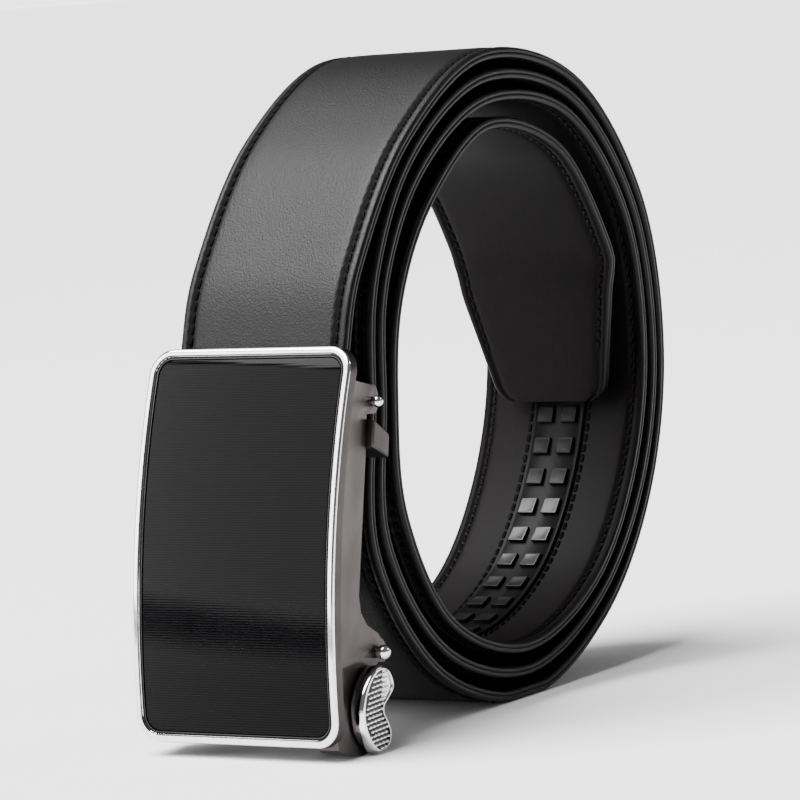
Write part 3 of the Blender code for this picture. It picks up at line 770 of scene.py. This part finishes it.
def thread_finish(colours):
    """Waxed thread with its twist."""
    recipe = Recipe("thread", colours.thread, 0.42, Specular_IOR_Level=0.05)
    own, across, along, above = recipe.axes()
    twist = ((along * 1.0 + across * 0.9 + above * 0.7) * (2 * math.pi / 0.42)).sine()
    fuzz = recipe.noise(own, 9.0, 2.0)
    recipe.shade((twist * 0.5 + fuzz * 0.5).fade(0.0, 0.9), (0.005, 0.005, 0.0055), 0.36 + fuzz * 0.16)
    recipe.relief(twist * 0.5 + fuzz * 0.25, 0.00006, 0.7)
    return recipe.material


def track_finish(colours, name, shine):
    """Moulded plastic with faint flow marks, rubbed bright where the catch has worked."""
    recipe = Recipe(name, colours.track, 0.4, Specular_IOR_Level=0.03, Coat_Roughness=0.25)
    own, across, along, above = recipe.axes()
    worked = (TRACK_START + RUBBED_FROM) / MM
    rubbed = along.fade(worked - 7.0, worked + 2.0)
    recipe.feed("Coat Weight", rubbed * shine + 0.04)
    marks = recipe.streaks(own, (0.5, 0.25, 0.5))
    rub = recipe.streaks(own, (1.2, 7.0, 1.0), 2.0)
    recipe.shade(marks.fade(0.4, 0.8), (0.005, 0.005, 0.006), 0.34 + marks * 0.10 + rub * 0.07)
    recipe.relief(marks * 0.6 + rub * 0.3, 0.00002, 0.5)
    return recipe.material


def satin_finish(colours):
    """Satin plated zinc: fine drawn lines along the height and a soft cloud."""
    recipe = Recipe("satin_metal", colours.satin, 0.3, Metallic=1.0)
    own = recipe.axes()[0]
    drawn = recipe.streaks(own, (9.0, 9.0, 0.6), 3.0, 0.6)
    cloud = recipe.streaks(own, (0.25, 0.25, 0.12))
    recipe.shade(cloud.fade(0.35, 0.75), (0.043, 0.037, 0.035), 0.28 + drawn * 0.08 + cloud * 0.06)
    recipe.relief(drawn, 0.000012, 0.5)
    return recipe.material


def polished_finish(colours):
    """Polished plating with faint wipe marks."""
    recipe = Recipe("polished_metal", colours.polished, 0.07, Metallic=1.0)
    own = recipe.axes()[0]
    wipe = recipe.streaks(own, (0.7, 0.7, 0.15), 4.0, 0.65)
    scratch = recipe.streaks(own, (14.0, 14.0, 0.7), 1.0)
    recipe.shade(wipe.fade(0.45, 0.8), (0.72, 0.72, 0.735), 0.045 + wipe * 0.07 + scratch * 0.03)
    recipe.relief(wipe * 0.7 + scratch * 0.3, 0.000008, 0.4)
    return recipe.material


def knurl_finish(colours, lever):
    """Bright metal with painted shade in the low places between the beads."""
    recipe = Recipe("knurled_metal", colours.polished, 0.22, Metallic=1.0)
    own, across, along, above = recipe.axes()
    mottle = recipe.noise(own, 1.6, 3.0)
    face = (LEVER_BACK + lever.thickness - FIELD_SINK) / MM
    # Painted shade: below the bead tops the face is tinted dark. The bead tops and the bare lobe keep the bright
    # metal.
    high = (across + mottle * 0.06).fade(face + 0.02, face + 0.24)
    depth, height = PAWL_PIN[0] / MM, PAWL_PIN[1] / MM
    lobe = along.fade(depth - 0.6, depth) * above.fade(height - 8.2, height - 7.6)
    high = high + lobe - high * lobe
    recipe.shade(1.0 - high, (0.03, 0.03, 0.032), 0.34 - high * 0.18 + mottle * 0.06)
    recipe.relief(mottle, 0.00002, 0.5)
    return recipe.material


def panel_finish(colours):
    """Black lacquer over fine level lines; on the rim's step and pocket it is painted shade."""
    recipe = Recipe("black_panel", colours.panel, 0.08, Specular_IOR_Level=0.055)
    own, across, along, above = recipe.axes()
    lines = (above * (2 * math.pi / 0.42)).sine()
    haze = recipe.streaks(own, (0.2, 1.0, 2.2), 4.0, 0.6)
    recipe.shade((lines * 0.6 + haze * 0.4).fade(0.0, 0.9), (0.0030, 0.0030, 0.0034),
                 0.05 + lines * 0.02 + haze * 0.04)
    recipe.relief(lines * 0.5 + haze * 0.2, 0.0000035, 0.4)
    return recipe.material


def floor_finish(colours):
    """Pale matt paper."""
    recipe = Recipe("floor", colours.floor, 0.75)
    place = recipe.node("ShaderNodeTexCoord", out=3)
    cloud = recipe.noise(place, 3.0, 3.0)
    recipe.shade(cloud.fade(0.3, 0.8), tuple(c * 0.985 for c in colours.floor), 0.72 + cloud * 0.08)
    return recipe.material


# Pieces


def strap_section(strap):
    """Points round the flat strap's section: padded middle, sewn grooves, painted edges."""
    edge = EDGE_THICKNESS / 2
    seam = HALF_WIDTH - strap.seam_inset
    groove = strap.groove_width / 2
    line = strap.ply_line / 2

    def side(depth, sign):
        """One face and half of the edge, from the middle outwards."""
        points = [
            (0.0, FULL),
            (HALF_WIDTH * 0.35, FULL),
            (HALF_WIDTH * 0.60, FULL),
            (HALF_WIDTH - 5.2 * MM, FULL - 0.01 * MM),
            (HALF_WIDTH - 4.2 * MM, FULL - 0.04 * MM),
            (HALF_WIDTH - 3.4 * MM, edge + 0.11 * MM),
            (seam - groove * 0.9, edge + 0.01 * MM),
            (seam - groove * 0.55, edge - depth * 0.75),
            (seam, edge - depth),
            (seam + groove * 0.55, edge - depth * 0.75),
            (seam + groove * 0.9, edge + 0.01 * MM),
            (seam + groove * 1.3, edge + 0.10 * MM),
            (HALF_WIDTH - 0.85 * MM, edge + 0.10 * MM),
            (HALF_WIDTH - 0.38 * MM, edge + 0.02 * MM),
            (HALF_WIDTH - 0.13 * MM, edge - 0.12 * MM),
            (HALF_WIDTH, edge - 0.36 * MM),
            (HALF_WIDTH, line),
        ]
        return [(x, sign * n) for x, n in points]

    upper = side(strap.groove_depth, 1)
    lower = side(strap.groove_depth * 0.8, -1)
    right = upper + [(HALF_WIDTH - 0.12 * MM, 0.0)] + lower[::-1]
    return right + [(-x, n) for x, n in right[-2:0:-1]]


class BELT_OT_strap(bpy.types.Operator):
    """Model the leather strap flat and wind it onto the roll"""

    bl_idname = "belt.strap"
    bl_label = "Strap"

    def execute(self, context):
        strap, colours = context.scene.belt_strap, context.scene.belt_colours
        item = long_bar("strap_leather", strap_section(strap), 0.0, 1.0, 2, 22)
        for vertex in item.data.vertices:
            vertex.co.y = ROUTE.whole * (1 - (1 - min(vertex.co.y, 1.0)) ** 1.15)
        for face in item.data.polygons:
            middle = face.center
            if abs(middle.x) > HALF_WIDTH - 0.3 * MM or abs(face.normal.y) > 0.9:
                face.material_index = 2
            elif face.normal.z < 0:
                face.material_index = 1
        for vertex in item.data.vertices:
            vertex.co.x *= read_table(TIP_SHAPE, (ROUTE.whole - vertex.co.y) / TIP_LENGTH)
        wind(item)
        finishes = [leather_finish(colours, strap), lining_finish(colours, strap), edge_finish(colours)]
        complete(item, "belt", finishes, ["strap"], angle=50)
        return {"FINISHED"}


def model_stitch(strap):
    """One stitch along Y, with its two ends drawn into their holes."""
    half, radius = strap.stitch_length / 2, strap.thread / 2
    rings = []
    turns = [math.pi * (2 * i + 1) / 6 for i in range(6)]
    for along, size, rise in STITCH_SHAPE:
        rings.append([(radius * size * 1.1 * math.cos(a), half * along,
                       radius * (size * math.sin(a) + rise)) for a in turns])
    return extruded("stitch", rings)


class BELT_OT_stitching(bpy.types.Operator):
    """Sew the seams along both edges of the strap and beside the track"""

    bl_idname = "belt.stitching"
    bl_label = "Stitching"

    def execute(self, context):
        strap, colours = context.scene.belt_strap, context.scene.belt_colours
        finish = thread_finish(colours)
        seam = HALF_WIDTH - strap.seam_inset
        floor_of_groove = EDGE_THICKNESS / 2 - strap.groove_depth
        count = int((ROUTE.whole - SEAM_SHORT) / strap.stitch_pitch)
        stations = [SEAM_FROM + strap.stitch_pitch * i for i in range(count)]
        for name, sign in (("outer_stitches", 1), ("lining_stitches", -1)):
            over = Matrix.Rotation(0.0 if sign > 0 else math.pi, 4, "Y")
            places = []
            for along in stations:
                share = read_table(TIP_SHAPE, (ROUTE.whole - along) / TIP_LENGTH)
                for side in (-1, 1):
                    above = sign * (floor_of_groove + strap.thread * 0.30)
                    at = Matrix.Translation((side * seam * share, along, above))
                    places.append(at @ Matrix.Rotation(side * strap.slant, 4, "Z") @ over)
            if sign < 0:
                beside = int((TRACK_LENGTH + 2 * SEAM_PAST_TRACK) / strap.stitch_pitch)
                for i in range(beside):
                    along = TRACK_START - SEAM_PAST_TRACK + strap.stitch_pitch * i
                    for side in (-1, 1):
                        at = (side * strap.seam_spread / 2, along, -FULL - strap.thread * 0.05)
                        places.append(Matrix.Translation(at) @ over)
            item = copies(model_stitch(strap), places, name)
            wind(item)
            complete(item, "belt", [finish])
        return {"FINISHED"}


def model_tooth():
    """One ramped tooth of the track, pointing down from the lining."""
    low = -(FULL + TRACK_GAP + TRACK_BASE / 2)
    item = block("tooth", (-TOOTH_WIDTH / 2, 0, low - TOOTH_HEIGHT - TRACK_BASE / 2),
                 (TOOTH_WIDTH / 2, TOOTH_LENGTH, low))
    edit(item)
    pick(item, "VERT", lambda v: v.co.z < low - TOOTH_HEIGHT / 2 and v.co.y < TOOTH_LENGTH / 2)
    bpy.ops.transform.translate(value=(0, 0.2 * MM, TOOTH_HEIGHT - TOOTH_LOW))
    pick(item, "FACE", lambda f: f.normal.z < -0.5)
    bpy.ops.mesh.inset(thickness=0.42 * MM, depth=0)
    bpy.ops.transform.translate(value=(0, 0, 0.09 * MM))
    pick(item, "EDGE", lambda e: e.calc_face_angle(0) > math.radians(40))
    bpy.ops.mesh.bevel(offset=0.14 * MM, segments=2, affect="EDGES")
    close_edit()
    return item


class BELT_OT_track(bpy.types.Operator):
    """Mould the toothed strip and wind it onto the lining"""

    bl_idname = "belt.track"
    bl_label = "Track"

    def execute(self, context):
        colours = context.scene.belt_colours
        half, top, low = TRACK_WIDTH / 2, -FULL + 0.02 * MM, -(FULL + TRACK_GAP + TRACK_BASE)
        lip = 0.18 * MM
        right = [(half - 1.05 * MM, low + 0.1 * MM), (half - 0.9 * MM, low), (half - lip, low),
                 (half, low + lip), (half, top)]
        section = [(-x, n) for x, n in right[::-1]] + right
        strip = long_bar("track_strip", section, TRACK_START, TRACK_END, 2, 9)
        wind(strip)
        complete(strip, "belt", [track_finish(colours, "track_strip", 0.0)], ["ratchet_track"])
        rows = int((TRACK_LENGTH - TOOTH_PITCH) / TOOTH_PITCH) + 1
        places = []
        for row in range(rows):
            at = TRACK_START + TOOTH_PITCH * (row + 0.5) - TOOTH_LENGTH / 2
            places += [Matrix.Translation((side * TOOTH_SPREAD / 2, at, 0)) for side in (-1, 1)]
        teeth = copies(model_tooth(), places, "track_teeth")
        wind(teeth)
        finish = track_finish(colours, "track_teeth", 0.32)
        complete(teeth, "belt", [finish], ["ratchet_track"], angle=40)
        return {"FINISHED"}


def bowed_plate(name, width, height, corner, front, back, bands=26):
    """A rounded plate, cut in level bands, with its flat front and back at two depths."""
    start_clean()
    bpy.ops.mesh.primitive_plane_add(size=1, rotation=(math.radians(90), 0, 0))
    item = added(name)
    item.scale = (width, height, 1)
    bpy.ops.object.transform_apply(location=True, rotation=True, scale=True)
    edit(item)
    bpy.ops.mesh.bevel(offset=corner, segments=12, affect="VERTICES")
    for k in range(1, bands):
        bpy.ops.mesh.select_all(action="SELECT")
        bpy.ops.mesh.bisect(plane_co=(0, 0, height * (k / bands - 0.5)), plane_no=(0, 0, 1))
    bpy.ops.mesh.select_all(action="SELECT")
    bpy.ops.transform.translate(value=(0, front, 0))
    bpy.ops.mesh.extrude_region_move(TRANSFORM_OT_translate={"value": (0, back - front, 0)})
    face_out()
    return item


def pick_front_border(item, depth):
    """Selects the border of a plate's flat front."""
    pick(item, "EDGE", lambda e: all(abs(v.co.y - depth) < MATCH for v in e.verts)
         and any(abs(f.normal.y) < 0.3 for f in e.link_faces))


def bow(item):
    """Bends a flat plate to the buckle's bowed front."""
    for vertex in item.data.vertices:
        vertex.co.y += front_depth(max(min(vertex.co.z, HALF_HEIGHT), -HALF_HEIGHT))
    item.data.update()


def casting(node, name, rounding, body, finish):
    """A packed casting with its edges rounded, in satin metal."""
    item = merged_copy(node, name)
    soften(item, rounding)
    remember(item, SEAT.matrix)
    complete(item, body, [finish], [node])


class BELT_OT_buckle(bpy.types.Operator):
    """Model the buckle's polished rim, its casting and the black panel"""

    bl_idname = "belt.buckle"
    bl_label = "Buckle"

    def execute(self, context):
        sizes, colours = context.scene.belt_buckle, context.scene.belt_colours
        polished, satin, groove = polished_finish(colours), satin_finish(colours), panel_finish(colours)
        proud = 0.03 * MM

        rim = bowed_plate("buckle_rim", BUCKLE_WIDTH + 2 * proud, 2 * HALF_HEIGHT + 2 * proud,
                          sizes.corner + proud, -proud, PLATE_DEPTH + proud)
        pick(rim, "FACE", lambda f: f.normal.y < -0.9)
        width, drop = sizes.rim_width, sizes.rim_step
        pocket = PANEL_SINK + PANEL_THICKNESS + FIT_GAP - 0.02 * MM
        for inset, sink in ((0.60 * width, 0), (0.16 * width, drop), (0.18 * width, 0), (0.03 * MM, pocket - drop)):
            bpy.ops.mesh.inset(thickness=inset, depth=0)
            bpy.ops.transform.translate(value=(0, sink, 0))
        pick_front_border(rim, -proud)
        bpy.ops.mesh.bevel(offset=sizes.rim_round, segments=4, affect="EDGES")
        close_edit()
        hollow = [vertex.co for vertex in rim.data.vertices if abs(vertex.co.y - drop + proud) < MATCH]
        half_wide, half_high = max(point.x for point in hollow), max(point.z for point in hollow)
        # Painted shade: the step inside the rim and the pocket walls under the panel take the black lacquer, for
        # the shade in the gap round the panel.
        for face in rim.data.polygons:
            middle = face.center
            side = middle.y > sizes.rim_round and max(abs(face.normal.x), abs(face.normal.z)) > 0.3
            within = abs(middle.x) < half_wide and abs(middle.z) < half_high
            within = within and middle.y > drop * 0.9 - proud
            face.material_index = 2 if within else 1 if side or face.normal.y > 0.5 else 0
        bow(rim)
        seat_piece(rim)
        complete(rim, "belt", [polished, satin, groove], ["buckle_frame"])

        casting("buckle_frame", "buckle_casting", sizes.edge_round, "belt", satin)

        inset = sizes.rim_width + FIT_GAP * 0.6
        panel = bowed_plate("front_panel", BUCKLE_WIDTH - 2 * inset, 2 * (HALF_HEIGHT - inset),
                            sizes.corner - sizes.rim_width, PANEL_SINK, PANEL_SINK + PANEL_THICKNESS)
        pick_front_border(panel, PANEL_SINK)
        bpy.ops.mesh.bevel(offset=0.16 * MM, segments=3, affect="EDGES")
        close_edit()
        bow(panel)
        seat_piece(panel)
        complete(panel, "belt", [panel_finish(colours)], ["inlay_panel"])
        return {"FINISHED"}


def ball_pin(node, name, centre, radius, head, finish):
    """A pin across the buckle with a ball head at each end."""
    end = WALL_OUT + SIDE_GAP / 2
    middle = end + head * 0.75
    outer = []
    for k in range(12):
        turn = math.radians(4 + 128 * k / 11)
        outer.append((middle + head * math.cos(turn), head * math.sin(turn)))
    outer = [point for point in outer if point[0] > end - 0.2 * MM]
    neck = end - 0.3 * MM
    profile = [(-x, r) for x, r in outer] + [(-neck, radius), (neck, radius)] + outer[::-1]
    pin = turned(name, profile, centre)
    seat_piece(pin)
    complete(pin, "belt", [finish], [node])


class BELT_OT_clamp(bpy.types.Operator):
    """Model the clamp that holds the strap's fixed end, and its pin"""

    bl_idname = "belt.clamp"
    bl_label = "Clamp"

    def execute(self, context):
        sizes, colours = context.scene.belt_buckle, context.scene.belt_colours
        casting("clamp_jaw", "clamp_bar", sizes.edge_round * 0.8, "belt", satin_finish(colours))
        finish = polished_finish(colours)
        ball_pin("clamp_pin", "upper_pin", CLAMP_PIN, 0.7 * MM, sizes.clamp_head, finish)
        return {"FINISHED"}


class BELT_OT_catch(bpy.types.Operator):
    """Model the catch that works on the track's teeth, and its pin"""

    bl_idname = "belt.catch"
    bl_label = "Catch"

    def execute(self, context):
        sizes, colours = context.scene.belt_buckle, context.scene.belt_colours
        casting("ratchet_pawl", "catch_plate", sizes.edge_round * 0.7, "catch", satin_finish(colours))
        finish = polished_finish(colours)
        ball_pin("pawl_pin", "lower_pin", PAWL_PIN, 0.8 * MM, sizes.pawl_head, finish)
        return {"FINISHED"}


def bean(lever, inset, back=0.0, per_span=5):
    """The lever's outline in (depth, height), inset from its edge and moved to the back."""
    top = PAWL_PIN[1] - 2.2 * MM
    middle = Vector((PAWL_PIN[0] - 1.7 * MM + back, top - lever.height / 2))
    wide, high = lever.width - 2 * inset, lever.height - 2 * inset
    keys = [Vector((y * wide, z * high)) for y, z in LEVER_SHAPE]
    count = len(keys)
    curve = []
    for i in range(count):
        span = smooth_through([keys[(i + k) % count] for k in (-1, 0, 1, 2)], per_span)
        curve += span[per_span:2 * per_span]
    return [point + middle for point in curve]


def inside(point, outline):
    """True where a point lies within an outline."""
    hit = False
    for a, b in zip(outline, outline[1:] + outline[:1]):
        if (a.y > point.y) != (b.y > point.y):
            if point.x < a.x + (b.x - a.x) * (point.y - a.y) / (b.y - a.y):
                hit = not hit
    return hit


def model_bead(lever):
    """One rounded bead that points to +X, a little longer than it is high."""
    rings = []
    turns = [2 * math.pi * i / 10 for i in range(10)]
    for out, size in BEAD_SHAPE:
        wide, high = 0.50 * lever.bead_pitch * size, 0.36 * lever.row_pitch * size
        rings.append([(out * lever.bead_height, wide * math.cos(a), high * math.sin(a)) for a in turns])
    return extruded("bead", rings)


class BELT_OT_lever(bpy.types.Operator):
    """Model the bean-shaped thumb lever and the beads on its face"""

    bl_idname = "belt.lever"
    bl_label = "Lever"

    def execute(self, context):
        lever, colours = context.scene.belt_lever, context.scene.belt_colours
        polished, knurled = polished_finish(colours), knurl_finish(colours, lever)
        back, front = LEVER_BACK, LEVER_BACK + lever.thickness
        rim, crown = lever.rim, lever.thickness * 0.62
        levels = [(back, rim * 0.6, 0.0), (back + 0.25 * rim, rim * 0.15, 0.0),
                  (back + 0.6 * rim, 0.0, 0.0)]
        for k in range(8):
            turn = math.radians(90 * k / 7)
            levels.append((front - crown + crown * math.sin(turn), rim - rim * math.cos(turn), 0.0))
        levels += [(front, rim * 1.1, rim * 0.5), (front - 0.1 * MM, rim * 1.15, rim * 0.75),
                   (front - FIELD_SINK, rim * 1.2, rim * 0.8)]
        rings = [[(x, p.x, p.y) for p in bean(lever, inset, shift)] for x, inset, shift in levels]
        body = extruded("thumb_lever", rings)
        for face in body.data.polygons:
            if face.normal.x > 0.95 and face.center.x < front - 0.2 * MM:
                face.material_index = 1
        seat_piece(body)
        complete(body, "catch", [polished, knurled], ["release_lever"])

        field = bean(lever, rim, rim * 0.9)
        centre = sum(field, Vector((0, 0))) / len(field)
        turn = Matrix.Rotation(lever.row_slant, 4, "X")
        places = []
        reach = Vector((0.36 * lever.bead_pitch, 0))
        lobe = centre + Vector((lever.width * 0.17, lever.height * 0.13))
        for row in range(-12, 13):
            for step in range(-8, 9):
                along = (step + (0.5 if row % 2 else 0.0)) * lever.bead_pitch
                point = centre + (turn @ Vector((0, along, row * lever.row_pitch))).yz
                if point.x > lobe.x and point.y > lobe.y:
                    continue
                if inside(point - reach, field) and inside(point + reach, field):
                    places.append(Matrix.Translation((front - FIELD_SINK, point.x, point.y)) @ turn)
        beads = copies(model_bead(lever), places, "lever_beads")
        seat_piece(beads)
        complete(beads, "catch", [knurled], ["release_lever"], angle=60)

        low = PAWL_PIN[1] - 2.5 * MM - 2 * SIDE_GAP
        bridge = block("lever_bridge", (WALL_IN, PAWL_PIN[0] - 1.1 * MM, low - 2.2 * MM),
                       (back + lever.thickness / 2, PAWL_PIN[0] + 1.25 * MM, low))
        soften(bridge, 0.2 * MM)
        seat_piece(bridge)
        complete(bridge, "catch", [satin_finish(colours)], ["release_lever"])
        return {"FINISHED"}


def add_lamp(name, place, width, height, power):
    """A softbox that points at the middle of the roll."""
    data = bpy.data.lights.new(name, "AREA")
    data.shape = "RECTANGLE"
    data.size = width
    data.size_y = height
    data.energy = power
    lamp = linked(name, data)
    lamp.location = place
    lamp.rotation_euler = (ROLL_MIDDLE - Vector(place)).to_track_quat("-Z", "Y").to_euler()


class BELT_OT_stage(bpy.types.Operator):
    """Lay the floor, hang the lamps and set up the camera"""

    bl_idname = "belt.stage"
    bl_label = "Stage"

    def execute(self, context):
        start_clean()
        bpy.ops.mesh.primitive_plane_add(size=FLOOR_SIZE, location=(0, 0, 0))
        floor = added("floor")
        edit(floor)
        pick(floor, "EDGE", lambda e: e.is_boundary)
        bpy.ops.mesh.extrude_edges_move(TRANSFORM_OT_translate={"value": (0, 0, FLOOR_EDGE)})
        bpy.ops.object.mode_set(mode="OBJECT")
        floor.data.materials.append(floor_finish(context.scene.belt_colours))

        world = context.scene.world or bpy.data.worlds.new("studio")
        context.scene.world = world
        world.use_nodes = True
        sky = world.node_tree.nodes["Background"]
        sky.inputs["Color"].default_value = (1.0, 1.0, 1.0, 1.0)
        sky.inputs["Strength"].default_value = SKY_STRENGTH
        sun = bpy.data.lights.new("day", "SUN")
        sun.energy = SUN_STRENGTH
        sun.angle = SUN_SPREAD
        sun.specular_factor = SUN_GLOSS
        linked("day", sun).rotation_euler = SUN_TURN
        for lamp in LAMPS:
            add_lamp(*lamp)

        aim, side = Vector(CAMERA_AIM).normalized(), Vector(CAMERA_SIDE).normalized()
        up = side.cross(aim).normalized()
        cos, sin = math.cos(CAMERA_PITCH), math.sin(CAMERA_PITCH)
        ahead, top = aim * cos + up * sin, up * cos - aim * sin
        data = bpy.data.cameras.new("camera")
        data.lens = CAMERA_LENS
        data.clip_start = 0.01
        data.clip_end = 200
        camera = linked("camera", data)
        turn = Matrix((side, top, -ahead)).transposed().to_4x4()
        camera.matrix_world = Matrix.Translation(CAMERA_PLACE) @ turn
        context.scene.camera = camera
        return {"FINISHED"}


class BELT_PT_panel(bpy.types.Panel):
    """The belt's pieces, sizes and colours"""

    bl_label = "Ratchet belt"
    bl_idname = "BELT_PT_panel"
    bl_space_type = "VIEW_3D"
    bl_region_type = "UI"
    bl_category = "Belt"

    def draw(self, context):
        for step in STEPS:
            self.layout.operator(step.bl_idname)
        for name in ("belt_strap", "belt_buckle", "belt_lever", "belt_colours"):
            group = getattr(context.scene, name)
            column = self.layout.column()
            for key in group.__annotations__:
                column.prop(group, key)


GROUPS = {"belt_strap": BeltStrapSizes, "belt_buckle": BeltBuckleSizes, "belt_lever": BeltLeverSizes,
          "belt_colours": BeltColours}
STEPS = (BELT_OT_strap, BELT_OT_stitching, BELT_OT_track, BELT_OT_buckle, BELT_OT_clamp, BELT_OT_catch,
         BELT_OT_lever, BELT_OT_stage)


def register():
    for name, group in GROUPS.items():
        bpy.utils.register_class(group)
        setattr(bpy.types.Scene, name, bpy.props.PointerProperty(type=group))
    for step in (*STEPS, BELT_PT_panel):
        bpy.utils.register_class(step)


def unregister():
    for step in reversed((*STEPS, BELT_PT_panel)):
        bpy.utils.unregister_class(step)
    for name, group in GROUPS.items():
        delattr(bpy.types.Scene, name)
        bpy.utils.unregister_class(group)


def main():
    register()
    bpy.ops.belt.strap()
    bpy.ops.belt.stitching()
    bpy.ops.belt.track()
    bpy.ops.belt.buckle()
    bpy.ops.belt.clamp()
    bpy.ops.belt.catch()
    bpy.ops.belt.lever()
    bpy.ops.belt.stage()


if __name__ == "__main__":
    main()
